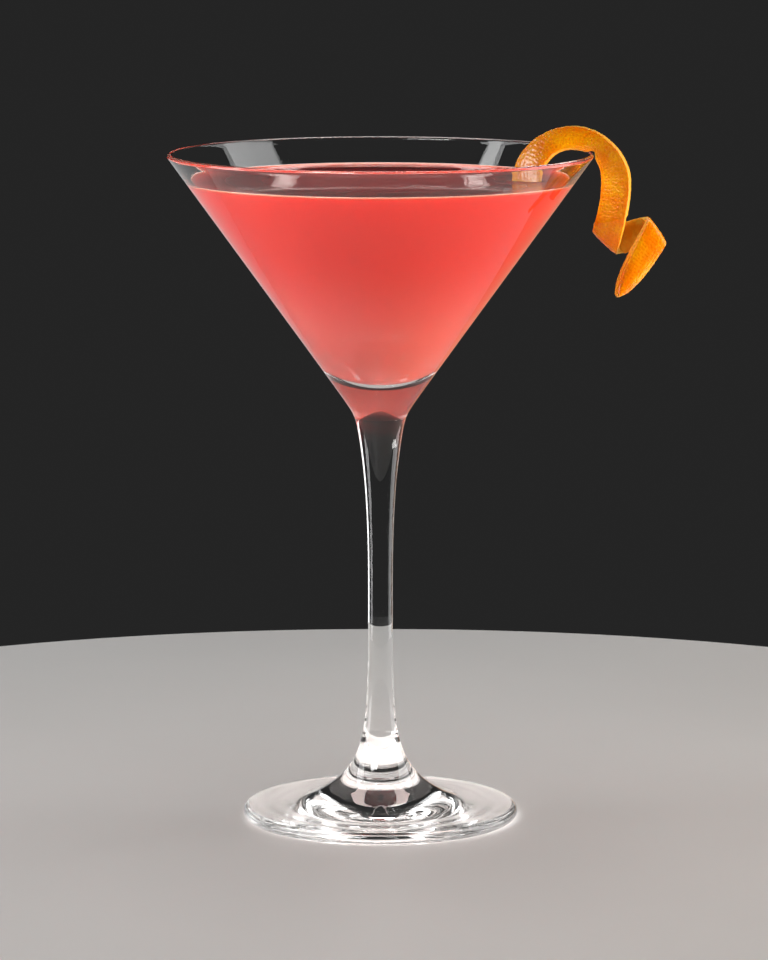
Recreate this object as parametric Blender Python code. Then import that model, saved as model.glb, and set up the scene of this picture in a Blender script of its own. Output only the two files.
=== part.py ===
"""Cosmopolitan cocktail: a stemmed cone glass, the drink in it and an orange peel twist on its rim.

The origin is on the glass's axis, on the surface it stands on, with +Z up and +X towards the
twist. Sizes are in millimetres and angles in degrees until to_mesh() turns them into metres.
"""

import bmesh
import bpy
import numpy as np

MM = 0.001

# The glass, turned about the Z axis.
HEIGHT = 180.0
RIM_RADIUS = 56.8
FOOT_RADIUS = 37.2
FOOT_EDGE = 3.2  # thickness of the foot where its top begins to rise
FOOT_RISE = 0.045  # slope of the foot's top
WAIST_RADIUS = 3.25  # thinnest part of the stem
WAIST_HEIGHT = 57.0
CONE_SLOPE = 0.7205  # how much the bowl's radius grows for each millimetre of height
WALL = 1.3  # at the rim; the wall thickens towards the bottom
INNER_LEAN = 36.3  # angle between the bowl's inner side and its axis
BEND_RADIUS = 60.0  # of the wide bend that leads from the side to the bottom
BOTTOM_RADIUS = 16.0
BOTTOM_HEIGHT = 120.2  # of the bowl's inner bottom
BOWL_SIDES = 56

# The drink.
DRINK_LEVEL = 173.3
GAP = 0.3  # kept between pieces that touch

# The peel: a flat strip curved like a hook, tilted where it hangs, and folded twice.
PEEL_WIDTH = 8.4
ARCH_WIDTH = 6.6  # the strip is narrower where it arches over the rim
PEEL_THICKNESS = 1.7
PEEL_BEVEL = 0.35  # the zest falls short of the inner side by this much at each edge
PEEL_CUP = 0.3  # the edges curl towards the inner side
LEG_TOP = (38.5, 172.2)  # X and Z of the strip's middle where it leaves the drink
LEG_LENGTH = 9.0
LEG_TURN = -25.0
LEG_FORWARD = 8.0  # the leg dips in this far in front of the rest
FORWARD_SPAN = (-12.0, 26.0)
ARCH_RADIUS = 12.0
NOTCH_AT = 26.7  # the rim presses a notch into the strip's lower edge
NOTCH_DEPTH = 1.35
NOTCH_LENGTH = 1.5
HANG_LENGTH = 12.1
HANG_TURN = -17.8
LEG_TILT = -25.0  # the strip faces the drink's axis a little on this side of the arch
HANG_TILT = 20.0
TILT_FROM = 8.0
TILT_FULL = 37.0
TIP_START = 70.7
TIP_LENGTH = 22.7
TIP_TURN = -9.3

# Folds: place of the line along the strip, its slant from straight across, turn, radius of the
# middle surface. The first is a crease, the second turns the strip back, the third forward.
CREASE = (47.4, -25.0, 29.6, 2.0)
BACK_FOLD = (53.6, 32.9, 144.2, 1.5)
FRONT_FOLD = (68.6, 21.5, 163.9, 1.4)

CLEAR_GLASS = (0.92, 0.95, 0.95, 1.0)
PINK_DRINK = (0.86, 0.16, 0.13, 1.0)
ORANGE_ZEST = (0.95, 0.38, 0.02, 1.0)


def clear_scene():
    """Remove every object that the file starts with."""
    for obj in list(bpy.data.objects):
        bpy.data.objects.remove(obj, do_unlink=True)


def material(name, colour, roughness, transmission=0.0):
    """Principled material of one piece."""
    made = bpy.data.materials.new(name)
    made.use_nodes = True
    shader = made.node_tree.nodes["Principled BSDF"]
    shader.inputs["Base Color"].default_value = colour
    shader.inputs["Roughness"].default_value = roughness
    shader.inputs["Metallic"].default_value = 0.0
    shader.inputs["Transmission Weight"].default_value = transmission
    shader.inputs["IOR"].default_value = 1.5 if transmission else 1.4
    return made


def to_mesh(name, points, faces, finish):
    """Mesh object from points in millimetres, with its normals outwards and smooth sides."""
    mesh = bpy.data.meshes.new(name)
    mesh.from_pydata((np.asarray(points) * MM).tolist(), [], faces)
    shell = bmesh.new()
    shell.from_mesh(mesh)
    bmesh.ops.remove_doubles(shell, verts=shell.verts, dist=1e-6)
    bmesh.ops.recalc_face_normals(shell, faces=shell.faces)
    shell.to_mesh(mesh)
    shell.free()
    mesh.shade_smooth()
    mesh.set_sharp_from_angle(angle=np.radians(40.0))
    mesh.materials.append(finish)
    obj = bpy.data.objects.new(name, mesh)
    bpy.context.scene.collection.objects.link(obj)
    return obj


# ---------------------------------------------------------------- turned shapes


def arc(centre, radius, start, end, count):
    """Points (radius, height) along an arc, angles measured from the outward direction."""
    angle = np.radians(np.linspace(start, end, count))
    return np.stack([centre[0] + radius * np.cos(angle), centre[1] + radius * np.sin(angle)], 1)


def softer_of(first, second, blend):
    """The larger of two values, rounded over where they meet."""
    return (first + second) / 2 + np.sqrt(((first - second) / 2) ** 2 + blend**2)


def cone_radius(height):
    """Outer radius of the bowl's straight side."""
    return RIM_RADIUS - CONE_SLOPE * (HEIGHT - 1.0 - height)


def stem_radius(height):
    """Outer radius from the foot to the bowl: a waist that swells slowly up into the cone and
    spreads into the foot below along a decaying curve."""
    rise = np.maximum(height - WAIST_HEIGHT, 0.0) / 48.0
    swell = 2.6 * rise**3
    spread = 9.0 * np.exp(-(height - 9.6) / 7.7)
    return softer_of(WAIST_RADIUS + swell + spread, cone_radius(height), 0.5)


def foot_top(radius):
    """Height of the foot's top: a gentle slope that turns up into the stem."""
    slope = FOOT_EDGE + FOOT_RISE * (FOOT_RADIUS - radius)
    flare = 9.6 - 7.7 * np.log((radius - WAIST_RADIUS) / 9.0)
    return softer_of(slope, flare, 0.5)


def bowl_inside(shrink, top, count):
    """Inner side of the bowl from its axis up to a height, moved inwards by a gap: a round
    bottom, a wide bend and the straight side up to the rim's inner edge."""
    lean = np.radians(INNER_LEAN)
    inwards = np.array([-np.cos(lean), np.sin(lean)])
    upwards = np.array([np.sin(lean), np.cos(lean)])
    rim = np.array([RIM_RADIUS - WALL / np.cos(np.arctan(CONE_SLOPE)), HEIGHT - 1.0])
    low = np.array([0.0, BOTTOM_HEIGHT + BOTTOM_RADIUS])
    # The bend touches the bottom's circle from outside it and has the side as its tangent.
    off = (low - rim) @ inwards
    rise = np.sqrt((off - BOTTOM_RADIUS) * (2 * BEND_RADIUS - BOTTOM_RADIUS - off))
    centre = low + (BEND_RADIUS - off) * inwards + rise * upwards
    meet = np.degrees(np.arctan2(low[1] - centre[1], low[0] - centre[0]))
    bottom = arc(low, BOTTOM_RADIUS - shrink, -90.0, meet, count)
    bend = arc(centre, BEND_RADIUS - shrink, meet, -INNER_LEAN, count)
    start, end = bend[-1], rim + shrink * inwards
    share = (top - start[1]) / (end[1] - start[1])
    side = start + (end - start) * np.linspace(0.0, share, 4)[1:, None]
    return np.concatenate([bottom, bend[1:], side])


def turned(name, outline, sides, finish):
    """Turn an outline of (radius, height) points, from axis to axis, into a closed body."""
    outline = np.asarray(outline)
    inner = outline[1:-1]
    angle = np.linspace(0.0, 2 * np.pi, sides, endpoint=False)
    ring = np.stack([np.cos(angle), np.sin(angle)], 1)
    side_xy = inner[:, None, :1] * ring
    side_z = np.broadcast_to(inner[:, None, 1:], side_xy.shape[:2] + (1,))
    points = np.concatenate([side_xy, side_z], 2).reshape(-1, 3)
    poles = [[0.0, 0.0, outline[0][1]], [0.0, 0.0, outline[-1][1]]]
    points = np.concatenate([points, poles])
    first, last = len(points) - 2, len(points) - 1
    faces = []
    for k in range(sides):
        after = (k + 1) % sides
        faces.append((first, after, k))
        for row in range(len(inner) - 1):
            low, high = row * sides, (row + 1) * sides
            faces.append((low + k, low + after, high + after, high + k))
        top = (len(inner) - 1) * sides
        faces.append((last, top + k, top + after))
    return to_mesh(name, points, faces, finish)


def make_glass():
    """Foot, stem and bowl in one piece, as it is blown and drawn."""
    edge = FOOT_EDGE / 2
    base = [[0.0, 0.0], [20.0, 0.0], [FOOT_RADIUS - edge, 0.0]]
    rounding = arc((FOOT_RADIUS - edge, edge), edge, -60.0, 60.0, 5)
    foot = np.linspace(FOOT_RADIUS - 3.0, 12.6, 7)
    foot = np.stack([foot, foot_top(foot)], 1)
    heights = foot[-1][1] + (114.0 - foot[-1][1]) * np.linspace(0.0, 1.0, 22)[1:] ** 1.25
    heights = np.concatenate([heights, [117.0, 121.0, 150.0]])
    stem = np.stack([stem_radius(heights), heights], 1)
    half = np.degrees(np.arctan(CONE_SLOPE))
    middle = (RIM_RADIUS - WALL / 2 / np.cos(np.radians(half)), HEIGHT - WALL / 2)
    rim = arc(middle, WALL / 2, -half, 180.0 - half, 6)
    inside = bowl_inside(0.0, HEIGHT - 1.4, 6)[::-1]
    outline = np.concatenate([base, rounding, foot, stem, rim, inside])
    return turned("glass", outline, BOWL_SIDES, material("clear_glass", CLEAR_GLASS, 0.0, 1.0))


# ---------------------------------------------------------------- the peel


def walk(along, start, heading, pieces):
    """Follow a line made of arcs: each piece has a length and the angle it turns through."""
    x = np.full_like(along, start[0])
    y = np.full_like(along, start[1])
    direction = np.full_like(along, np.radians(heading))
    head = np.radians(heading)
    done = 0.0
    for length, turn in pieces:
        step = np.clip(along - done, 0.0, length)
        rate = np.radians(turn) / length
        chord = step * np.sinc(rate * step / 2 / np.pi)
        x = x + chord * np.cos(head + rate * step / 2)
        y = y + chord * np.sin(head + rate * step / 2)
        direction = direction + rate * step
        head += np.radians(turn)
        done += length
    return x, y, direction


def strip_middle(along):
    """Middle line of the flat strip: the leg below 0, then the arch, the hanging stretch and the
    tip. Its heading is the direction away from the drink."""
    arch = ARCH_RADIUS * np.pi
    straight = TIP_START - arch - HANG_LENGTH
    pieces = ((arch, -180.0), (HANG_LENGTH, HANG_TURN), (straight, 0.0), (TIP_LENGTH, TIP_TURN))
    ahead = walk(np.maximum(along, 0.0), LEG_TOP, 90.0, pieces)
    leg = ((LEG_LENGTH, LEG_TURN), (1.0, 0.0))
    back = walk(np.maximum(-along, 0.0), LEG_TOP, -90.0, leg)
    sunk = along < 0
    x = np.where(sunk, back[0], ahead[0])
    y = np.where(sunk, back[1], ahead[1])
    return x, y, np.where(sunk, back[2] + np.pi, ahead[2])


def ease(start, end, value):
    """Smooth step from 0 to 1."""
    share = np.clip((value - start) / (end - start), 0.0, 1.0)
    return share * share * (3 - 2 * share)


def half_width(along, across):
    """Distance from the middle to the edge: less over the arch, notched by the rim, and
    rounded down to the tip."""
    narrow = ease(2.0, 17.0, along) * (1.0 - ease(26.0, 38.0, along))
    half = PEEL_WIDTH / 2 - (PEEL_WIDTH - ARCH_WIDTH) / 2 * narrow
    notch = NOTCH_DEPTH * np.exp(-(((along - NOTCH_AT) / NOTCH_LENGTH) ** 2))
    half = half - np.where(across < 0, notch, 0.0)
    taper = np.clip((along - TIP_START) / TIP_LENGTH, 0.0, 1.0)
    return half * (1.0 - taper**2.6) ** 0.58


def fold(points, flat, place, slant, turn, radius):
    """Roll the part beyond a line round a cylinder, towards the inner side of the peel."""
    x, y, direction = strip_middle(np.array([place]))
    head = direction[0] + np.radians(270.0 - slant)
    line = np.array([np.cos(head), np.sin(head), 0.0])
    out = np.array([-np.sin(head), np.cos(head), 0.0])
    foot = np.array([x[0], y[0], 0.0])
    angle = np.clip((flat - foot[:2]) @ out[:2] / radius, 0.0, np.radians(turn))
    local = points - foot - (angle * radius)[:, None] * out
    ahead = local @ out
    above = local[:, 2] - radius
    turned_ahead = ahead * np.cos(angle) - above * np.sin(angle)
    turned_above = ahead * np.sin(angle) + above * np.cos(angle) + radius
    placed = foot + (local @ line)[:, None] * line + turned_ahead[:, None] * out
    placed[:, 2] += turned_above
    return placed


def tilt(points, along):
    """Turn the strip about its middle line: a positive turn brings its outer edge to the front.
    From the crease on, the whole of it turns as one."""
    x, y, direction = strip_middle(np.minimum(along, CREASE[0] - 1.0))
    angle = np.radians(LEG_TILT + (HANG_TILT - LEG_TILT) * ease(TILT_FROM, TILT_FULL, along))
    left = np.column_stack([-np.sin(direction), np.cos(direction), direction * 0])
    local = points - np.column_stack([x, y, x * 0])
    sideways = (local * left).sum(axis=1)
    lift = local[:, 2]
    moved = sideways * (np.cos(angle) - 1.0) + lift * np.sin(angle)
    placed = points + moved[:, None] * left
    placed[:, 2] = lift * np.cos(angle) - sideways * np.sin(angle)
    return placed


def peel_points(along, across, depth, grow=0.0):
    """Points of the peel: along the strip from where it leaves the drink, across it from -1 to 1
    (the arch's outside), and through its thickness from -1 on the zest to 1 on the inner side."""
    x, y, direction = strip_middle(along)
    half = half_width(along, across)
    bevel = np.minimum(PEEL_BEVEL, half * 0.6) * (1 - depth) / 2
    side = (half - bevel + grow) * across
    flat = np.column_stack([x - np.sin(direction) * side, y + np.cos(direction) * side])
    lift = depth * (PEEL_THICKNESS / 2 + grow) + PEEL_CUP * np.abs(across) ** 2.5
    points = np.column_stack([flat, lift])
    # The fold that is farthest along the strip comes first, so that each line is still flat.
    for shape in (FRONT_FOLD, BACK_FOLD, CREASE):
        near = along > CREASE[0] - 8.0
        points = np.where(near[:, None], fold(points, flat, *shape), points)
    points = tilt(points, along)
    points[:, 2] -= LEG_FORWARD * (1.0 - ease(*FORWARD_SPAN, along))
    # The strip's own X is the part's X, its Y is up, and its inner side faces the back.
    return points[:, [0, 2, 1]]


def peel_stations():
    """Places along the strip where its section is drawn: closest where it folds."""
    leg = np.linspace(-LEG_LENGTH, 0.0, 5)
    arch = np.linspace(0.0, ARCH_RADIUS * np.pi, 29)[1:]
    hang = np.linspace(ARCH_RADIUS * np.pi, CREASE[0] - 3.0, 5)[1:]
    back_fold = np.linspace(CREASE[0] - 3.0, BACK_FOLD[0] + 8.0, 26)[1:]
    front_fold = np.linspace(BACK_FOLD[0] + 8.0, FRONT_FOLD[0] + 7.0, 18)[1:]
    end = TIP_START + TIP_LENGTH
    tip = front_fold[-1] + (end - front_fold[-1]) * np.linspace(0.0, 0.997, 10)[1:]
    return np.concatenate([leg, arch, hang, back_fold, front_fold, tip])


def peel_body(name, stations, finish, grow=0.0):
    """Closed strip: one section with rounded edges at each station, and a cap at each end."""
    face = np.linspace(-0.94, 0.94, 11)
    across = np.concatenate([face, [1.0, 1.0], face[::-1], [-1.0, -1.0]])
    depth = np.concatenate([face * 0 - 1, [-0.45, 0.45], face * 0 + 1, [0.45, -0.45]])
    count = len(across)
    along, column = np.meshgrid(stations, np.arange(count), indexing="ij")
    column = column.ravel()
    points = peel_points(along.ravel(), across[column], depth[column], grow)
    ends = points.reshape(len(stations), count, 3)[[0, -1]].mean(axis=1)
    points = np.concatenate([points, ends])
    start, finish_point = len(points) - 2, len(points) - 1
    last = (len(stations) - 1) * count
    faces = []
    for k in range(count):
        after = (k + 1) % count
        for row in range(len(stations) - 1):
            low, high = row * count, (row + 1) * count
            faces.append((low + k, low + after, high + after, high + k))
        faces.append((start, after, k))
        faces.append((finish_point, last + k, last + after))
    return to_mesh(name, points, faces, finish)


def make_twist():
    return peel_body("orange_twist", peel_stations(), material("orange_peel", ORANGE_ZEST, 0.45))


def make_drink():
    """The drink up to its level, with a pocket round the end of the peel that dips into it."""
    outline = bowl_inside(GAP, DRINK_LEVEL, 6)
    outline = np.concatenate([outline, [[25.0, DRINK_LEVEL], [0.0, DRINK_LEVEL]]])
    finish = material("pink_drink", PINK_DRINK, 0.1)
    drink = turned("drink", outline, BOWL_SIDES, finish)
    stations = np.linspace(-LEG_LENGTH - GAP, 6.0, 8)
    pocket = peel_body("peel_pocket", stations, finish, GAP)
    pocket.hide_render = True
    pocket.display_type = "WIRE"
    cut = drink.modifiers.new("pocket", "BOOLEAN")
    cut.operation = "DIFFERENCE"
    cut.object = pocket
    return drink


clear_scene()
make_glass()
make_drink()
make_twist()
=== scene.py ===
# %% [markdown]
# # Cosmopolitan in a cone glass, with a twist of orange peel
#
# A lesson in turning formulas into a drink. Three things are made: the clear glass, the pink
# drink that fills it and the strip of orange peel that hangs over its rim. Each is a surface
# worked out with numpy and each gets a material built from shader nodes.

import bpy
import numpy as np
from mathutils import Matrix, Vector


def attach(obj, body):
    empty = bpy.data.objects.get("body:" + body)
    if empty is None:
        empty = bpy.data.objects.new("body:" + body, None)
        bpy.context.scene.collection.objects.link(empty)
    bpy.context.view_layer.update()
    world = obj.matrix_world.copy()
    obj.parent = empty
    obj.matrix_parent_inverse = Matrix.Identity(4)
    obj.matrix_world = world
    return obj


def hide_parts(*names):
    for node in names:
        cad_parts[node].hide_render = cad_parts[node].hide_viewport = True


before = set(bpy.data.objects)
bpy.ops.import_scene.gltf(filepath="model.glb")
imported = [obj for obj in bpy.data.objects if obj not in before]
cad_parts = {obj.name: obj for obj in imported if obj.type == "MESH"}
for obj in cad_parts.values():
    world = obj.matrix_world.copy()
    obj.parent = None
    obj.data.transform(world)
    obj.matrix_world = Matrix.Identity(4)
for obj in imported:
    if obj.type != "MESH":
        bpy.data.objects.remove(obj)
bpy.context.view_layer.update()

MM = 0.001  # the shapes are worked out in millimetres and stored in metres
BODY = "root"
print("nodes:", sorted(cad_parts))

# %% [markdown]
# ## Helpers that every piece shares
#
# A mesh is points and faces. Blender can turn a profile with its Screw modifier or loft curves,
# but a grid of points from a formula is easier to control: rows run along the shape, columns run
# round it, and the faces follow from the row and column numbers alone.

# %% Grid faces and mesh objects


def grid_faces(rows, columns):
    """Quads between neighbouring rows of a grid whose columns close into a ring: the corners are
    (row, column), (row, column + 1), (row + 1, column + 1) and (row + 1, column)."""
    row, column = np.meshgrid(np.arange(rows - 1), np.arange(columns), indexing="ij")
    after = (column + 1) % columns
    corners = [row * columns + column, row * columns + after,
               (row + 1) * columns + after, (row + 1) * columns + column]
    return np.stack(corners, -1).reshape(-1, 4)


def cap_faces(centre, first, columns):
    """Triangles from one centre point to the ring that starts at point number first."""
    column = np.arange(columns)
    return np.stack([np.full(columns, centre), first + (column + 1) % columns, first + column], 1)


def volume_of(points, quads, triangles):
    """Volume inside a closed mesh: the sum over its triangles of a . (b x c) / 6."""
    split = np.concatenate([quads[:, [0, 1, 2]], quads[:, [0, 2, 3]], triangles])
    a, b, c = points[split[:, 0]], points[split[:, 1]], points[split[:, 2]]
    return float(np.einsum("ij,ij->i", a, np.cross(b, c)).sum() / 6)


def piece(name, grid, finish):
    """Closed mesh object from a grid of points in millimetres (rows, columns, xyz), each end
    drawn together in the mean of its last ring. The faces are turned round if the volume comes
    out negative, so that they always point outwards."""
    rows, columns = grid.shape[:2]
    ends = grid[[0, -1]].mean(axis=1)
    points = np.concatenate([grid.reshape(-1, 3), ends]) * MM
    quads = grid_faces(rows, columns)
    start = cap_faces(rows * columns, 0, columns)
    end = cap_faces(rows * columns + 1, (rows - 1) * columns, columns)[:, ::-1]
    triangles = np.concatenate([start, end])
    volume = volume_of(points, quads, triangles)
    if volume < 0:
        quads, triangles = quads[:, ::-1], triangles[:, ::-1]
    mesh = bpy.data.meshes.new(name)
    mesh.from_pydata(points.tolist(), [], quads.tolist() + triangles.tolist())
    mesh.shade_smooth()
    mesh.materials.append(finish)
    made = bpy.data.objects.new(name, mesh)
    bpy.context.scene.collection.objects.link(made)
    size = np.ptp(points, axis=0) / MM
    print(f"{name}: {len(quads) * 2 + len(triangles)} triangles, {size.round(1)} mm, "
          f"{abs(volume) * 1e6:.1f} cm3")
    return made


def note(made, name, grid_values):
    """Store one number per point of a piece, for its material to read. The two end points get
    the mean of their ring."""
    values = np.concatenate([grid_values.ravel(), grid_values[[0, -1]].mean(axis=1)])
    kept = made.data.attributes.new(name, "FLOAT", "POINT")
    kept.data.foreach_set("value", values.astype(np.float32))


def smooth(low, high, value):
    """0 below low, 1 above high, and an S-curve 3t^2 - 2t^3 between."""
    share = np.clip((value - low) / (high - low), 0.0, 1.0)
    return share * share * (3 - 2 * share)


# %% [markdown]
# ## Helpers for materials
#
# Each material is one Principled BSDF. Its constants sit straight on the shader's sockets; only
# what changes over a surface arrives through nodes.

# %% Material helpers


def new_material(name, **constants):
    """A material, its node tree and its Principled shader, with the constants set."""
    made = bpy.data.materials.new(name)
    made.use_nodes = True
    shader = made.node_tree.nodes["Principled BSDF"]
    for socket, value in constants.items():
        shader.inputs[socket.replace("_", " ")].default_value = value
    return made, made.node_tree, shader


def add(tree, kind, inputs=(), **settings):
    """A node with its settings; inputs maps a socket to a value or to another node's output."""
    node = tree.nodes.new("ShaderNode" + kind)
    for setting, value in settings.items():
        setattr(node, setting, value)
    for socket, value in dict(inputs).items():
        if isinstance(value, bpy.types.NodeSocket):
            tree.links.new(value, node.inputs[socket])
        else:
            node.inputs[socket].default_value = value
    return node


def mix(tree, amount, first, second):
    """Colour between two colours or outputs, by an amount or an output from 0 to 1."""
    inputs = {0: amount, 6: first, 7: second}
    return add(tree, "Mix", inputs, data_type="RGBA").outputs[2]


def ramp(tree, value, low, high):
    """0 to 1 as a value goes from low to high, smoothly."""
    inputs = {"Value": value, "From Min": low, "From Max": high}
    return add(tree, "MapRange", inputs, interpolation_type="SMOOTHSTEP").outputs["Result"]


def objects_own(tree):
    """Object coordinates: metres in the piece's own space."""
    return add(tree, "TexCoord").outputs["Object"]


def read_note(tree, name):
    """The number that note() stored on the piece."""
    return add(tree, "Attribute", attribute_name=name).outputs["Fac"]


# %% [markdown]
# ## The outline of the glass
#
# A stemmed glass is turned: foot, stem and bowl are one outline spun round the axis. The bowl is
# a straight cone. The stem is thinnest below its middle, swells slowly on its way up and runs
# out into the foot along a decaying curve. Where two of these curves meet, a smooth maximum
# rounds the corner over, as fire does with real glass.

# %% Driving sizes of the glass
HEIGHT = 180.0
LIP = 1.0  # the rim's radius is measured this far below the top
RIM_RADIUS = 56.54  # of the cone's outer side
FOOT_RADIUS = 37.2
FOOT_EDGE = 3.2
FOOT_RISE = 0.045  # slope of the foot's top
WAIST_RADIUS = 3.25
WAIST_HEIGHT = 57.0
SWELL = 2.6  # radius that the stem gains over the swell's length above its waist
SWELL_LENGTH = 48.0
SPREAD = 9.0  # radius that the stem gains towards the foot, at the spread's height
SPREAD_HEIGHT = 9.6
SPREAD_LENGTH = 7.7  # over which the spread falls to 1/e
BLEND = 0.5  # how softly two curves of the outline meet
CONE_SLOPE = 0.7205  # radius gained for each millimetre of height
WALL = 1.3  # at the rim; the wall thickens towards the bottom
INNER_LEAN = 36.3  # angle between the bowl's inner side and its axis
BEND_RADIUS = 60.0  # of the wide bend that leads from the side to the bottom
BOTTOM_RADIUS = 16.0
BOTTOM_HEIGHT = 120.2  # of the bowl's inner bottom
HALF_ANGLE = np.degrees(np.arctan(CONE_SLOPE))  # between the cone's side and its axis
AXIS_GAP = 0.2  # radius of the last ring, which piece() closes with one point
print(f"cone's half angle: {HALF_ANGLE:.2f} degrees")

# %% Curves of the outline


def arc(centre, radius, start, end, count):
    """Points (radius, height) on a circle: centre + radius (cos a, sin a), a from start to end."""
    angle = np.radians(np.linspace(start, end, count))
    return np.stack([centre[0] + radius * np.cos(angle), centre[1] + radius * np.sin(angle)], 1)


def softer_of(first, second, blend):
    """Smooth maximum: the mean of two values plus the square root of the sum of two squares,
    that of half their difference and that of the blend."""
    return (first + second) / 2 + np.sqrt(((first - second) / 2) ** 2 + blend**2)


def stem_radius(height):
    """Waist radius, plus a swell with the cube of the height above the waist, plus a spread with
    e to the minus height above the foot, rounded over into the cone's straight side."""
    swell = SWELL * (np.maximum(height - WAIST_HEIGHT, 0.0) / SWELL_LENGTH) ** 3
    spread = SPREAD * np.exp(-(height - SPREAD_HEIGHT) / SPREAD_LENGTH)
    cone = RIM_RADIUS - CONE_SLOPE * (HEIGHT - LIP - height)
    return softer_of(WAIST_RADIUS + swell + spread, cone, BLEND)


def foot_top(radius):
    """Height of the foot's top: a straight slope, rounded over into the stem's spread. Solved for
    its height, the spread is a logarithm of the radius beyond the waist's."""
    slope = FOOT_EDGE + FOOT_RISE * (FOOT_RADIUS - radius)
    flare = SPREAD_HEIGHT - SPREAD_LENGTH * np.log((radius - WAIST_RADIUS) / SPREAD)
    return softer_of(slope, flare, BLEND)


# %% [markdown]
# The bowl's inner side isn't parallel to the outer one. The wall is thin at the rim and grows to
# several millimetres at the bottom, which is round. Circles that touch without a corner keep the
# reflections smooth. The drink uses this curve as well, moved outwards into the wall.

# %% The bowl's inner side and turning


def bowl_inside(outwards, top, round_count, straight_count):
    """Inner side of the bowl, from its axis up to a height and moved out by a distance: a round
    bottom, a wide bend and a straight side. The bend has the side as its tangent, and its centre
    is as far from the bottom's centre as their radii differ, which makes the two circles meet
    without a corner."""
    lean = np.radians(INNER_LEAN)
    inwards = np.array([-np.cos(lean), np.sin(lean)])
    upwards = np.array([np.sin(lean), np.cos(lean)])
    rim = np.array([RIM_RADIUS - WALL / np.cos(np.radians(HALF_ANGLE)), HEIGHT - LIP])
    low = np.array([0.0, BOTTOM_HEIGHT + BOTTOM_RADIUS])
    off = (low - rim) @ inwards
    rise = np.sqrt((off - BOTTOM_RADIUS) * (2 * BEND_RADIUS - BOTTOM_RADIUS - off))
    centre = low + (BEND_RADIUS - off) * inwards + rise * upwards
    meet = np.degrees(np.arctan2(low[1] - centre[1], low[0] - centre[0]))
    bottom = arc(low, BOTTOM_RADIUS + outwards, -90.0, meet, round_count)
    bend = arc(centre, BEND_RADIUS + outwards, meet, -INNER_LEAN, round_count)
    start, end = bend[-1], rim - outwards * inwards
    share = (top - start[1]) / (end[1] - start[1])
    side = start + (end - start) * np.linspace(0.0, share, straight_count)[1:, None]
    return np.concatenate([bottom, bend[1:], side])


def turned(outline, sides):
    """Grid of points from an outline (radius, height): (r cos a, r sin a, z) round the axis."""
    angle = np.linspace(0.0, 2 * np.pi, sides, endpoint=False)
    ring = np.stack([np.cos(angle), np.sin(angle)], 1)
    flat = outline[:, None, :1] * ring
    height = np.broadcast_to(outline[:, None, 1:], flat.shape[:2] + (1,))
    return np.concatenate([flat, height], 2)


# %% [markdown]
# ## Clear glass
#
# Glass shows by what it bends and mirrors, so the material is a plain transmissive one with a
# trace of unevenness. A thin glass would throw a black shadow in a path tracer, because lamp
# rays can't be aimed through a bending surface. The usual cure is to let shadow rays, and only
# those, pass through a Transparent shader.

# %% The glass's material
CLEAN = (0.985, 0.992, 0.99, 1.0)
MARKED = (0.95, 0.96, 0.96, 1.0)
SHADOW_TINT = (0.93, 0.94, 0.94, 1.0)


def make_clear_glass():
    """Faint waves from fire polishing and a few dull finger marks on a clear dielectric."""
    made, tree, shader = new_material(
        "clear_glass", Transmission_Weight=1.0, IOR=1.5, Metallic=0.0)
    place = objects_own(tree)
    waves = add(tree, "TexNoise", {"Vector": place, "Scale": 55.0, "Detail": 1.0})
    bump = add(tree, "Bump", {"Strength": 0.002, "Distance": 0.001, "Height": waves.outputs["Fac"]})
    marks = add(tree, "TexNoise", {"Vector": place, "Scale": 24.0, "Detail": 5.0})
    dull = ramp(tree, marks.outputs["Fac"], 0.62, 0.78)
    roughness = add(tree, "Math", {0: dull, 1: 0.05}, operation="MULTIPLY").outputs[0]
    tint = mix(tree, dull, CLEAN, MARKED)
    tree.links.new(bump.outputs["Normal"], shader.inputs["Normal"])
    tree.links.new(roughness, shader.inputs["Roughness"])
    tree.links.new(tint, shader.inputs["Base Color"])
    clear = add(tree, "BsdfTransparent", {"Color": SHADOW_TINT})
    rays = add(tree, "LightPath")
    both = add(tree, "MixShader", {
        0: rays.outputs["Is Shadow Ray"], 1: shader.outputs[0], 2: clear.outputs[0]})
    tree.links.new(both.outputs[0], tree.nodes["Material Output"].inputs["Surface"])
    return made


# %% [markdown]
# ## The glass
#
# The foot's underside is slightly hollow, so that the glass stands on a ring and doesn't rock,
# and its top carries the soft rings that the blower's tools leave. The rim is a half circle whose
# start has the cone's side as its tangent, so that no line shows where they meet.

# %% The glass's outline
GLASS_SIDES = 256
HOLLOW = 0.7  # rise of the underside at its middle
STAND_RADIUS = 35.0
RIPPLE = 0.02  # height of the rings on the foot's top
RIPPLE_LENGTH = 4.6
RIPPLE_STARTS = (12.6, 18.0)  # radii between which the rings grow to their full height
RIPPLE_ENDS = (31.0, 36.0)
FOOT_EDGE_ROUND = 1.3  # width of the foot's rounded edge that its top leaves out
STEM_TOP = 117.0  # above it the outline needs few points, because the cone is straight
CONE_ENDS = (2.0, 1.2)  # the cone's last two rows are this far below the top
SIDE_ENDS = (1.4, 0.5)  # and those of the inner side


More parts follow.
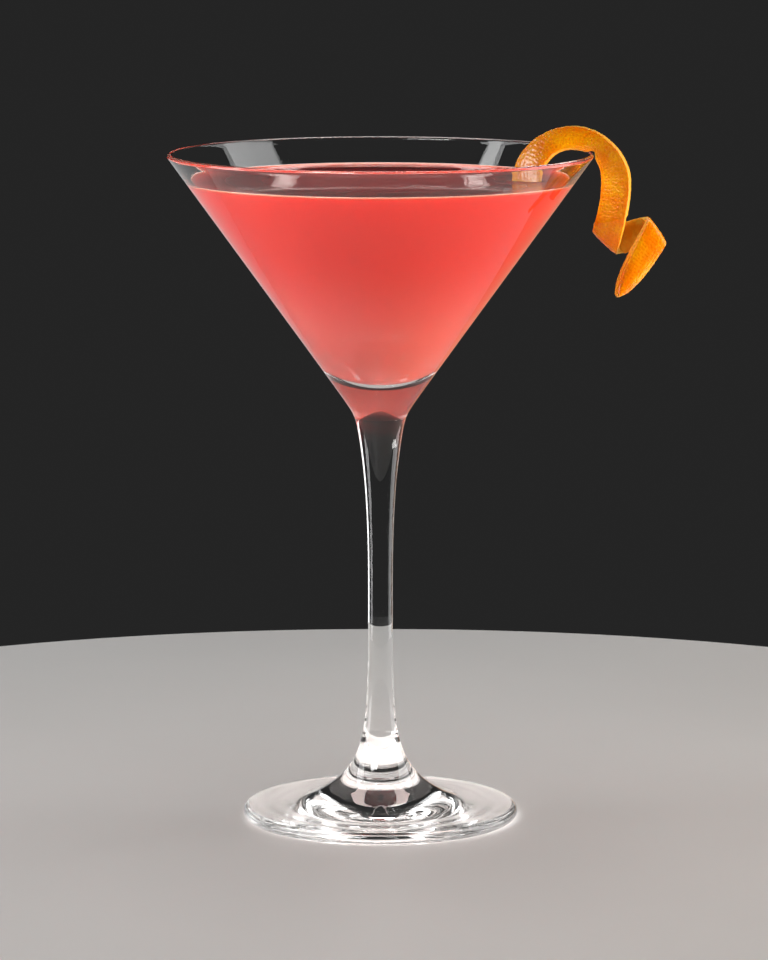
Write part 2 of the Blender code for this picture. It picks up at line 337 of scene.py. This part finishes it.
def glass_outline():
    """Underside, rounded edge, foot, stem, cone, rounded rim and inner side, in that order."""
    under = np.linspace(AXIS_GAP, STAND_RADIUS, 26)
    hollow = HOLLOW * (1.0 - (under / STAND_RADIUS) ** 2) ** 2
    base = np.stack([under, hollow], 1)
    edge = FOOT_EDGE / 2
    rounding = arc((FOOT_RADIUS - edge, edge), edge, -88.0, 66.0, 16)
    foot = np.linspace(FOOT_RADIUS - FOOT_EDGE_ROUND, RIPPLE_STARTS[0], 60)
    ripple = RIPPLE * np.sin(2 * np.pi * foot / RIPPLE_LENGTH) * smooth(*RIPPLE_STARTS, foot)
    ripple *= 1.0 - smooth(*RIPPLE_ENDS, foot)
    foot = np.stack([foot, foot_top(foot) + ripple], 1)
    rise = foot[-1][1] + (STEM_TOP - foot[-1][1]) * np.linspace(0.0, 1.0, 110)[1:] ** 1.15
    cone = np.linspace(STEM_TOP + 1.0, HEIGHT - CONE_ENDS[0], 24)
    height = np.concatenate([rise, cone, [HEIGHT - CONE_ENDS[1]]])
    stem = np.stack([stem_radius(height), height], 1)
    middle_height = HEIGHT - WALL / 2
    middle = RIM_RADIUS + CONE_SLOPE * (middle_height - HEIGHT + LIP)
    middle -= WALL / 2 / np.cos(np.radians(HALF_ANGLE))
    rim = arc((middle, middle_height), WALL / 2, -HALF_ANGLE, 180.0 - HALF_ANGLE, 15)
    inside = bowl_inside(0.0, HEIGHT - SIDE_ENDS[0], 26, 24)
    last = bowl_inside(0.0, HEIGHT - SIDE_ENDS[1], 2, 2)[-1:]
    inside = np.concatenate([inside, last])[::-1]
    inside[-1, 0] = AXIS_GAP
    return np.concatenate([base, rounding, foot, stem, rim, inside])


# %% Spin the outline
glass = piece("stemmed_glass", turned(glass_outline(), GLASS_SIDES), make_clear_glass())
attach(glass, BODY)
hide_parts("glass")

# %% [markdown]
# ## The orange peel's path
#
# A twist of peel is a flat strip that was cut and then bent, so it is made that way here. A line
# of arcs gives the strip's middle in the flat: it leaves the drink, arches over the rim and
# hangs down outside. There the strip is creased, folded back and folded forward again, always
# with the zest on the outside. A fold rolls all that lies beyond a line round a small cylinder.

# %% Sizes of the strip
PEEL_WIDTH = 8.4
ARCH_WIDTH = 6.6  # the strip is narrower where it arches over the rim
NARROWS = (2.0, 17.0)  # places along the strip between which it narrows, and widens again
WIDENS = (26.0, 38.0)
PEEL_THICKNESS = 1.7
PEEL_BEVEL = 0.35  # the zest falls short of the inner side by this much at each edge
LEG_TOP = (38.5, 172.2)  # X and Z of the strip's middle where it leaves the drink
LEG_LENGTH = 9.0
LEG_TURN = -25.0
LEG_FORWARD = 8.0  # the leg dips in this far in front of the rest
FORWARD_SPAN = (-12.0, 26.0)  # the stretch over which the strip comes back from there
ARCH_RADIUS = 12.0
NOTCH_AT = 26.7  # the rim presses a notch into the strip's lower edge
NOTCH_DEPTH = 1.35
NOTCH_LENGTH = 1.5
HANG_LENGTH = 12.1
HANG_TURN = -17.8
LEG_TILT = -25.0  # the strip faces the drink's axis a little on this side of the arch
HANG_TILT = 20.0
TILT_SPAN = (8.0, 37.0)
TIP_START = 70.7
TIP_LENGTH = 22.7
TIP_TURN = -9.3
TIP_POWERS = (2.6, 0.58)  # how late and how bluntly the tip runs out
TIP_END = 0.998  # share of the tip's length where the strip stops, before it has no width

# Folds: place of the line along the strip, its slant from straight across, turn and radius.
CREASE = (47.4, -25.0, 29.6, 2.0)
BACK_FOLD = (53.6, 32.9, 144.2, 1.5)
FRONT_FOLD = (68.6, 21.5, 163.9, 1.4)
BEFORE_CREASE = 8.0  # nothing is folded nearer to the drink than this far before the crease
print(f"strip outside the drink: {TIP_START + TIP_LENGTH:.1f} mm")

# %% Walk along the strip


def walk(along, start, heading, pieces):
    """Follow a line made of arcs. A piece of length l that turns by t has the chord
    s sinc(t s / 2 l) in the direction halfway through its turn."""
    x = np.full_like(along, start[0])
    y = np.full_like(along, start[1])
    head = np.radians(heading)
    direction = np.full_like(along, head)
    done = 0.0
    for length, turn in pieces:
        step = np.clip(along - done, 0.0, length)
        rate = np.radians(turn) / length
        chord = step * np.sinc(rate * step / 2 / np.pi)
        x = x + chord * np.cos(head + rate * step / 2)
        y = y + chord * np.sin(head + rate * step / 2)
        direction = direction + rate * step
        head += np.radians(turn)
        done += length
    return x, y, direction


def strip_middle(along):
    """Middle line of the flat strip and its heading, which is the direction away from the drink.
    It is walked from where the strip leaves the drink: forwards above 0, backwards below."""
    arch = ARCH_RADIUS * np.pi
    straight = TIP_START - arch - HANG_LENGTH
    pieces = ((arch, -180.0), (HANG_LENGTH, HANG_TURN), (straight, 0.0), (TIP_LENGTH, TIP_TURN))
    ahead = walk(np.maximum(along, 0.0), LEG_TOP, 90.0, pieces)
    back = walk(np.maximum(-along, 0.0), LEG_TOP, -90.0, ((LEG_LENGTH, LEG_TURN),))
    sunk = along < 0
    x = np.where(sunk, back[0], ahead[0])
    y = np.where(sunk, back[1], ahead[1])
    return x, y, np.where(sunk, back[2] + np.pi, ahead[2])


def half_width(along, across):
    """Distance from the middle to the edge: less over the arch, less a bell (e to the minus
    square of the distance) where the rim presses in. Towards the tip it is multiplied by one
    minus a power of the share of the way, all raised to a second power."""
    narrow = smooth(*NARROWS, along) * (1.0 - smooth(*WIDENS, along))
    half = PEEL_WIDTH / 2 - (PEEL_WIDTH - ARCH_WIDTH) / 2 * narrow
    notch = NOTCH_DEPTH * np.exp(-(((along - NOTCH_AT) / NOTCH_LENGTH) ** 2))
    half = half - np.where(across < 0, notch, 0.0)
    taper = np.clip((along - TIP_START) / TIP_LENGTH, 0.0, 1.0)
    return half * (1.0 - taper ** TIP_POWERS[0]) ** TIP_POWERS[1]


# %% [markdown]
# Bending comes after cutting. Each fold needs only its line on the flat strip, and the points
# before the line stay where they are. Doing the far fold first keeps every later line flat. In
# the end the strip is turned a little about its own middle, as it leans on the glass.

# %% Fold and tilt the strip


def fold(points, flat, place, slant, turn, radius):
    """Roll what lies beyond a line round a cylinder. The angle of a point is its distance past
    the line over the cylinder's radius, and stops at the full turn."""
    x, y, direction = strip_middle(np.array([place]))
    head = direction[0] + np.radians(270.0 - slant)
    line = np.array([np.cos(head), np.sin(head), 0.0])
    out = np.array([-np.sin(head), np.cos(head), 0.0])
    foot = np.array([x[0], y[0], 0.0])
    angle = np.clip((flat - foot[:2]) @ out[:2] / radius, 0.0, np.radians(turn))
    local = points - foot - (angle * radius)[:, None] * out
    ahead, above = local @ out, local[:, 2] - radius
    moved = foot + (local @ line)[:, None] * line
    moved += (ahead * np.cos(angle) - above * np.sin(angle))[:, None] * out
    moved[:, 2] += ahead * np.sin(angle) + above * np.cos(angle) + radius
    return moved


def tilt(points, along):
    """Turn the strip about its middle line: a positive angle brings its outer edge to the front.
    From the crease on, the whole of it turns as one."""
    x, y, direction = strip_middle(np.minimum(along, CREASE[0] - 1.0))
    angle = np.radians(LEG_TILT + (HANG_TILT - LEG_TILT) * smooth(*TILT_SPAN, along))
    left = np.column_stack([-np.sin(direction), np.cos(direction), direction * 0])
    sideways = ((points - np.column_stack([x, y, x * 0])) * left).sum(axis=1)
    lift = points[:, 2]
    moved = points + (sideways * (np.cos(angle) - 1.0) + lift * np.sin(angle))[:, None] * left
    moved[:, 2] = lift * np.cos(angle) - sideways * np.sin(angle)
    return moved


def peel_points(along, across, inwards, shift, lift):
    """Points of the bent strip in millimetres. along is the place on its middle line; across runs
    from -1 to 1 between the edges, which move inwards by a distance; shift adds millimetres
    sideways and lift is the height over the middle surface, positive on the inner side."""
    x, y, direction = strip_middle(along)
    sideways = (half_width(along, across) - inwards) * across + shift
    flat = np.column_stack([x - np.sin(direction) * sideways, y + np.cos(direction) * sideways])
    points = np.column_stack([flat, lift])
    # The fold that is farthest along the strip comes first, so that each line is still flat.
    beyond_arch = (along > CREASE[0] - BEFORE_CREASE)[:, None]
    for shape in (FRONT_FOLD, BACK_FOLD, CREASE):
        points = np.where(beyond_arch, fold(points, flat, *shape), points)
    points = tilt(points, along)
    points[:, 2] -= LEG_FORWARD * (1.0 - smooth(*FORWARD_SPAN, along))
    # The flat strip's Y is up in the room, and its inner side faces the back.
    return points[:, [0, 2, 1]]


# %% [markdown]
# ## The peel's skin
#
# Orange zest is dotted with oil glands about a millimetre apart, each a shallow dimple. A
# jittered grid spreads such points evenly but not in rows: every cell of a square lattice holds
# one centre, moved by a pseudo-random amount that depends only on the cell's numbers.

# %% Dimples
PORE_SPACING = 1.0
PORE_RADIUS = 0.5
PORE_DEPTH = 0.085


def scatter(cell_x, cell_y, seed):
    """A number from 0 to 1 for a cell: the fraction of a large multiple of a sine of its numbers."""
    value = np.sin(cell_x * 127.1 + cell_y * 311.7 + seed * 74.7) * 43758.5453
    return value - np.floor(value)


def pores(along, sideways):
    """Depth of the dimples from 0 to 1: a cosine bell round the nearest jittered centre."""
    u, v = along / PORE_SPACING, sideways / PORE_SPACING
    nearest = np.full_like(u, 9.0)
    for step_u in (-1, 0, 1):
        for step_v in (-1, 0, 1):
            cell_u, cell_v = np.floor(u) + step_u, np.floor(v) + step_v
            centre_u = cell_u + 0.2 + 0.6 * scatter(cell_u, cell_v, 1.0)
            centre_v = cell_v + 0.2 + 0.6 * scatter(cell_u, cell_v, 2.0)
            nearest = np.minimum(nearest, np.hypot(u - centre_u, v - centre_v))
    away = np.clip(nearest * PORE_SPACING / PORE_RADIUS, 0.0, 1.0)
    return 0.5 + 0.5 * np.cos(np.pi * away)


# %% [markdown]
# The strip's section is a closed ring of points: the zest, a rounded edge, the inner side and the
# other edge. The zest is domed across the strip, because its edges curl towards the inner side,
# most near the tip. A hand-held knife leaves the edges a little uneven, and sines of unrelated
# lengths do that without a repeat that the eye could find.

# %% The strip's section and its grid
EDGE_CURL = 0.3  # how far the edges bend to the inner side
TIP_CURL = 0.75  # and near the tip
CURL_SPAN = (FRONT_FOLD[0] + 4.0, TIP_START + 12.0)
EDGE_WANDER = 0.04  # unevenness of the cut
LUMP = 0.05  # unevenness of the inner side
SLACK = 0.03  # the shaped strip stays this far inside its plain outline
STATION = 0.2  # distance between sections
FACE_POINTS = 44
EDGE_POINTS = 8
FACE_SHARE = 0.96  # of the half width; the rest is the rounding of the corner


def peel_section():
    """Across and depth round the strip: the zest face (depth -1), an edge, the inner face
    (depth 1) and the other edge. Along an edge the depth is a blend of the sine of an angle and
    its cube, and the cosine's square root rounds the corners."""
    face = np.sin(np.linspace(-1.0, 1.0, FACE_POINTS) * np.pi / 2 * 0.985) * FACE_SHARE
    turn = np.radians(np.linspace(-90.0, 90.0, EDGE_POINTS + 2)[1:-1])
    edge = FACE_SHARE + (1.0 - FACE_SHARE) * np.cos(turn) ** 0.5
    depth = np.sin(turn) ** 3 * 0.35 + np.sin(turn) * 0.65
    across = np.concatenate([face, edge, face[::-1], -edge])
    return across, np.concatenate([face * 0 - 1, depth, face * 0 + 1, -depth])


def make_peel_grid():
    """The strip as a grid: a section at each station. High powers of the place across leave the
    middle alone: the edges curl with the power 2.5 and wander with the fifth. Dimples are
    pressed into the zest, fading out at its edges, and slow sines uneven the inner side."""
    end = TIP_START + TIP_LENGTH * TIP_END
    stations = np.append(np.arange(-LEG_LENGTH, end, STATION), end)
    across, depth = peel_section()
    along, column = np.meshgrid(stations, np.arange(len(across)), indexing="ij")
    across, depth = across[column], depth[column]
    half = half_width(along, across)
    inwards = np.minimum(PEEL_BEVEL, half * 0.6) * (1 - depth) / 2 + SLACK
    sideways = (half - inwards) * across
    wander = np.sin(along * 2.1) * np.sin(along * 0.83 + 1.0) + 0.6 * np.sin(along * 5.3)
    shift = EDGE_WANDER * wander * across**5
    curl = EDGE_CURL + (TIP_CURL - EDGE_CURL) * smooth(*CURL_SPAN, along)
    curl = curl * np.clip(half / 3.0, 0.0, 1.0) * np.abs(across) ** 2.5
    fade = smooth(0.0, 0.7, half - np.abs(sideways))
    dimple = pores(along, sideways) * (depth < -0.99) * fade
    lump = LUMP * np.sin(along * 1.9 + across * 3.0) * np.sin(along * 0.7 - across * 4.0)
    lift = depth * (PEEL_THICKNESS / 2 - SLACK) + curl + PORE_DEPTH * dimple
    lift = lift + lump * (depth > 0.99)
    flat = (along.ravel(), across.ravel(), inwards.ravel(), shift.ravel(), lift.ravel())
    return peel_points(*flat).reshape(along.shape + (3,)), along, -depth, dimple


# %% [markdown]
# ## Orange peel finish
#
# Three looks share the strip: the waxy zest, the matt inner side and the pale cut edge between
# them. The mesh tells them apart with a number per point, and the material mixes their colours.

# %% The peel's material
ZEST = ((0.94, 0.245, 0.0, 1.0), (1.0, 0.43, 0.002, 1.0))
# painted shade: the zest's colour in the hollows of its dimples
DIMPLE_SHADE = (0.86, 0.175, 0.0, 1.0)
INNER_SIDE = ((0.87, 0.28, 0.002, 1.0), (0.97, 0.49, 0.035, 1.0))
CUT_EDGE = (0.98, 0.46, 0.025, 1.0)


def make_orange_peel():
    """Zest with painted shade in its dimples, mottled inner side, light cut edges, by the mesh's
    notes.
    """
    made, tree, shader = new_material(
        "orange_peel", Subsurface_Weight=0.35, Subsurface_Scale=0.0012, IOR=1.45,
        Subsurface_Radius=(1.0, 0.45, 0.12), Metallic=0.0, Specular_IOR_Level=0.34)
    place = objects_own(tree)
    side = read_note(tree, "side")
    dimple = read_note(tree, "dimple")
    blotch = add(tree, "TexNoise", {"Vector": place, "Scale": 190.0, "Detail": 4.0}).outputs["Fac"]
    grain = add(tree, "TexNoise", {"Vector": place, "Scale": 900.0, "Detail": 3.0}).outputs["Fac"]
    zest = mix(tree, ramp(tree, blotch, 0.35, 0.7), *ZEST)
    # painted shade: the zest darkens with the depth of each dimple
    dimple_shade = add(tree, "Math", {0: dimple, 1: 0.4}, operation="MULTIPLY").outputs[0]
    zest = mix(tree, dimple_shade, zest, DIMPLE_SHADE)
    inner = mix(tree, ramp(tree, blotch, 0.4, 0.62), *INNER_SIDE)
    colour = mix(tree, ramp(tree, side, -0.95, -0.6), inner, CUT_EDGE)
    colour = mix(tree, ramp(tree, side, 0.3, 0.95), colour, zest)
    rough = add(tree, "MapRange", {"Value": side, "From Min": -0.2, "From Max": 0.9,
                                   "To Min": 0.6, "To Max": 0.18}).outputs["Result"]
    uneven = add(tree, "Math", {0: grain, 1: 0.12, 2: rough}, operation="MULTIPLY_ADD").outputs[0]
    bump = add(tree, "Bump", {"Strength": 0.25, "Distance": 0.0003, "Height": grain})
    tree.links.new(colour, shader.inputs["Base Color"])
    tree.links.new(uneven, shader.inputs["Roughness"])
    tree.links.new(bump.outputs["Normal"], shader.inputs["Normal"])
    return made


# %% Make the peel
peel_grid, peel_along, peel_side, peel_dimple = make_peel_grid()
peel = piece("orange_peel_twist", peel_grid, make_orange_peel())
note(peel, "side", peel_side)
note(peel, "dimple", peel_dimple)
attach(peel, BODY)
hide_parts("orange_twist")

# %% [markdown]
# ## The drink
#
# The drink takes its sides from the bowl. They reach a little way into the glass wall, because a
# film of air between liquid and glass would shine like a mirror. The top is level, but it creeps
# up at the wall and round the peel: a meniscus, which falls off as e to the minus distance.

# %% The drink's shape
DRINK_LEVEL = 172.6
INTO_WALL = 0.15
MENISCUS = 0.6  # rise at the wall
PEEL_MENISCUS = 0.7  # rise at the peel, as a share of that
MENISCUS_LENGTH = 1.5
DRINK_SIDES = 300


def meniscus(distance, height):
    """Rise of the surface at a distance from what it clings to."""
    return height * np.exp(-np.maximum(distance, 0.0) / MENISCUS_LENGTH)


def drink_grid(leg):
    """Bottom and side from the bowl, then the top in rings towards the axis. leg is the points of
    the peel near the surface, round which the drink rises too."""
    side = bowl_inside(INTO_WALL, DRINK_LEVEL + MENISCUS, 24, 50)
    side[0, 0] = AXIS_GAP
    wall = side[-1, 0]
    radius = wall - (wall - AXIS_GAP) * np.linspace(0.0, 1.0, 130)[1:] ** 1.25
    top = np.stack([radius, DRINK_LEVEL + meniscus(wall - radius, MENISCUS)], 1)
    grid = turned(np.concatenate([side, top]), DRINK_SIDES)
    face = grid[len(side):]
    near = np.full(face.shape[:2], np.inf)
    for start in range(0, len(leg), 64):
        gap = face[:, :, None, :2] - leg[None, None, start:start + 64, :2]
        near = np.minimum(near, np.sqrt((gap**2).sum(-1)).min(-1))
    face[..., 2] += meniscus(near, MENISCUS * PEEL_MENISCUS)
    return grid, len(side)


# %% [markdown]
# ## Pink drink finish
#
# Vodka, cranberry and lime make a cloudy drink: light enters, is scattered and comes out tinted.
# Subsurface scattering does that. The narrow bottom of the cone is paler than the wide top
# because there is less drink to look through; that light is painted into the colour, which
# follows the height. The surface is painted a deeper red, as painted shade for light that
# enters it and mostly leaves through the wall. This painted shade is deepest in a wide ring,
# and painted light pales it again at the shore, where the drink thins out over the sloping
# wall.
#
# Against the glass the drink is the thinner medium, and light that runs down inside the wall
# meets it at a slant and turns back. That draws the dark, sharp arc round the bowl's bottom. A
# Fresnel node with the ratio of the two refractive indices says how much turns back, and mixes
# in a mirror by that much, though not on the surface, which meets air.

# %% The drink's material
PALE_FROM = 0.121  # height in metres of the palest drink
DEEP_FROM = DRINK_LEVEL * MM - 0.015  # and of the deepest
DEEP = ((0.78, 0.044, 0.031, 1.0), (0.82, 0.058, 0.040, 1.0))
# painted light: the look of thin drink near the narrow bottom
THIN_DRINK_LIGHT = (0.82, 0.20, 0.17, 1.0)
# painted shade darkens the surface, most in a ring; painted light pales it at the shore
SURFACE_SHADE = (0.56, 0.040, 0.036, 1.0)
RING_SHADE = (0.27, 0.011, 0.011, 1.0)
SHORE_LIGHT = (0.70, 0.12, 0.095, 1.0)
WATER_IN_GLASS = 0.893  # refractive index of the drink over that of the glass


def make_pink_drink():
    """Coral scattering body with a slight cloudiness. Painted light pales it towards the narrow
    bottom and at the shore; painted shade deepens its surface, most in a ring.
    """
    made, tree, shader = new_material(
        "pink_drink", Subsurface_Weight=1.0, Subsurface_Scale=0.012, IOR=1.35, Roughness=0.02,
        Subsurface_Radius=(1.0, 0.25, 0.2), Metallic=0.0)
    place = objects_own(tree)
    height = add(tree, "SeparateXYZ", {0: place}).outputs["Z"]
    cloud = add(tree, "TexNoise", {"Vector": place, "Scale": 22.0, "Detail": 2.0}).outputs["Fac"]
    # painted light: paler towards the narrow bottom, where light passes through less drink
    depth = ramp(tree, height, PALE_FROM, DEEP_FROM)
    colour = mix(tree, depth, THIN_DRINK_LIGHT, mix(tree, cloud, *DEEP))
    top = read_note(tree, "top")
    # painted shade on the surface and in its ring, painted light at its shore
    colour = mix(tree, top, colour, SURFACE_SHADE)
    colour = mix(tree, read_note(tree, "ring"), colour, RING_SHADE)
    colour = mix(tree, read_note(tree, "shore"), colour, SHORE_LIGHT)
    tree.links.new(colour, shader.inputs["Base Color"])
    slant = add(tree, "Fresnel", {"IOR": WATER_IN_GLASS}).outputs[0]
    against_glass = add(tree, "Math", {0: 1.0, 1: top}, operation="SUBTRACT").outputs[0]
    turned_back = add(tree, "Math", {0: slant, 1: against_glass}, operation="MULTIPLY").outputs[0]
    mirror = add(tree, "BsdfGlossy", {"Color": (0.95, 0.95, 0.95, 1.0), "Roughness": 0.0})
    both = add(tree, "MixShader", {0: turned_back, 1: shader.outputs[0], 2: mirror.outputs[0]})
    tree.links.new(both.outputs[0], tree.nodes["Material Output"].inputs["Surface"])
    return made


# %% Make the drink
LEG_ENDS = 8.0  # place along the strip; the hanging end passes the drink's level once more
NEAR = 0.5  # points this close to the surface count as its shore on the peel

height = peel_grid[..., 2]
leg = (np.abs(height.mean(axis=1) - DRINK_LEVEL) < 2 * NEAR) & (peel_along[:, 0] < LEG_ENDS)
leg_points = peel_grid[leg][np.abs(height[leg] - DRINK_LEVEL) < NEAR]
drink_points, drink_side_rows = drink_grid(leg_points)
print("peel crosses the surface near", leg_points.mean(axis=0).round(1))
drink = piece("cosmopolitan", drink_points, make_pink_drink())

# %% Note where its surface is
RING_GROWS = (15.0, 42.0)  # distances from the axis between which each colour sets in
SHORE_GROWS = (39.0, 50.0)

on_top = np.zeros(drink_points.shape[:2])
on_top[drink_side_rows:] = 1.0
from_axis = np.hypot(drink_points[..., 0], drink_points[..., 1])
note(drink, "top", on_top)
# masks for the painted shade in a ring on the surface and the painted light at its shore
note(drink, "ring", on_top * smooth(*RING_GROWS, from_axis))
note(drink, "shore", on_top * smooth(*SHORE_GROWS, from_axis))
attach(drink, BODY)
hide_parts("drink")

# %% [markdown]
# ## The table top
#
# A round pale table top, turned like the glass. Its edge is the horizon behind the stem, and its
# light comes up through the foot.

# %% The table top
TABLE_RADIUS = 272.0
TABLE_THICKNESS = 14.0
TABLE_ROUNDING = 3.0
TABLE_DROP = 0.05  # the top lies this hair below the glass
PALE_STONE = ((0.60, 0.595, 0.585, 1.0), (0.66, 0.655, 0.645, 1.0))


def make_table():
    """A turned disc with rounded edges."""
    top = -TABLE_DROP
    low = top - TABLE_THICKNESS
    middle = TABLE_RADIUS - TABLE_ROUNDING
    upper = arc((middle, top - TABLE_ROUNDING), TABLE_ROUNDING, 90.0, 0.0, 8)
    lower = arc((middle, low + TABLE_ROUNDING), TABLE_ROUNDING, 0.0, -90.0, 8)
    outline = np.concatenate([[[0.5, top], [90.0, top], [180.0, top]], upper, lower, [[0.5, low]]])
    made, tree, shader = new_material("pale_table", Roughness=0.5, Metallic=0.0)
    stone = add(tree, "TexNoise", {"Vector": objects_own(tree), "Scale": 9.0, "Detail": 3.0})
    tone = mix(tree, stone.outputs["Fac"], *PALE_STONE)
    tree.links.new(tone, shader.inputs["Base Color"])
    return piece("table_top", turned(outline, 160), made)


make_table()

# %% [markdown]
# ## The room
#
# The room is dark grey, because the edges of clear glass show best against something dark. Light
# runs down inside the glass wall by turning back from its sides many times over, and so each ray
# may turn many more times than Blender allows at first. With too few turns the rim and the foot
# would go black in places.

# %% The room
ROOM_GREY = 0.018

room = bpy.data.worlds.new("room")
room.use_nodes = True
room.node_tree.nodes["Background"].inputs["Color"].default_value = (ROOM_GREY,) * 3 + (1.0,)
bpy.context.scene.world = room
bpy.context.scene.view_settings.view_transform = "Standard"
paths = bpy.context.scene.cycles
paths.max_bounces = 32
paths.transmission_bounces = 32
paths.glossy_bounces = 24

# %% [markdown]
# ## Light
#
# Clear glass is drawn by its edges, and these are bright only if something bright stands beside
# it. So a tall soft box stands at each side, and both show in the bowl as pale panels. Like all
# lamps here they aren't seen straight on, only in the glass.

# %% A soft box, and the two at the sides


def soft_box(name, place, target, size, power, colour=(1.0, 1.0, 1.0)):
    """An area lamp that faces a target and isn't seen by the camera itself."""
    lamp = bpy.data.lights.new(name, "AREA")
    lamp.shape = "RECTANGLE"
    lamp.size, lamp.size_y = size
    lamp.energy = power
    lamp.color = colour
    made = bpy.data.objects.new(name, lamp)
    made.location = place
    made.rotation_euler = (Vector(target) - Vector(place)).to_track_quat("-Z", "Y").to_euler()
    made.visible_camera = False
    bpy.context.scene.collection.objects.link(made)
    return made


def hide_from(rays, *lamps):
    """Keep lamps out of some kinds of ray, such as glossy, which leaves their other light."""
    for lamp in lamps:
        for kind in rays:
            setattr(lamp, "visible_" + kind, False)


soft_box("left_box", (-0.80, 0.0, 0.42), (0.0, 0.0, 0.42), (0.34, 1.6), 7.2)
soft_box("right_box", (0.80, 0.22, 0.42), (0.0, 0.22, 0.42), (0.60, 1.6), 8.1)

# %% [markdown]
# Front and top lamps light the drink and the peel. Three of them would also show in the glass as
# patches, and are kept out of glossy and transmitted rays. Two more do the opposite: one puts
# highlights on the waxy zest, and one above draws the rim as a thin warm line. The glow from the
# right has the colour of the peel, whose light falls on that side of the drink.

# %% Front and top lamps
KEY_TARGET = (0.0, 0.0, 0.16)
TOP_TARGET = (0.0, 0.0, 0.18)
DRINK_TARGET = (0.0, 0.0, 0.14)

soft_box("key_box", (-0.60, -0.85, 0.80), KEY_TARGET, (0.4, 0.4), 2.0)
top = soft_box("top_box", (0.0, 0.10, 1.30), TOP_TARGET, (0.8, 0.8), 4.0)
sparkle = soft_box("sparkle_box", (-0.50, -0.85, 0.85), KEY_TARGET, (0.5, 0.5), 15.0)
rim_light = soft_box("rim_light", (0.0, 0.27, 1.17), TOP_TARGET, (1.2, 0.42), 15.0, (1.0, 0.80, 0.76))
fill = soft_box("front_fill", (-0.25, -1.0, 0.10), DRINK_TARGET, (0.5, 0.5), 2.0)
glow = soft_box("right_glow", (0.60, -0.15, 0.02), DRINK_TARGET, (0.3, 0.3), 3.6, (1.0, 0.72, 0.45))
hide_from(["diffuse"], sparkle, rim_light)
hide_from(["glossy", "transmission"], top, fill, glow)

# %% [markdown]
# Seen from in front, the cone's outer sides mirror what lies low and far behind the table. Dark
# bands would stand there, so two low boxes give the sides a soft edge of light and nothing else.

# %% Low boxes behind
left_low = soft_box("left_low", (-0.38, 0.68, -0.17), DRINK_TARGET, (0.70, 0.50), 0.60)
right_low = soft_box("right_low", (0.38, 0.68, -0.17), DRINK_TARGET, (0.70, 0.50), 0.60,
                     (1.0, 0.60, 0.38))
hide_from(["diffuse", "transmission"], left_low, right_low)
print("lamps:", len(bpy.data.lights))

# %% [markdown]
# ## Camera
#
# The camera stands in front of the glass, a little above its rim, and looks slightly down. The
# lens is long, so the ellipses of the rim and the foot stay flat.

# %% Camera
CAMERA_PLACE = (0.00098, -1.1959, 0.2795)
CAMERA_PITCH = 8.907  # degrees below level
LENS = 168.94  # for a sensor of 36 mm along the picture's long side

camera = bpy.data.objects.new("camera", bpy.data.cameras.new("camera"))
camera.data.lens = LENS
camera.data.sensor_width = 36.0
camera.location = CAMERA_PLACE
camera.rotation_euler = (np.radians(90.0 - CAMERA_PITCH), 0.0, 0.0)
bpy.context.scene.collection.objects.link(camera)
bpy.context.scene.camera = camera
print("camera at", CAMERA_PLACE, "with a lens of", LENS, "mm")
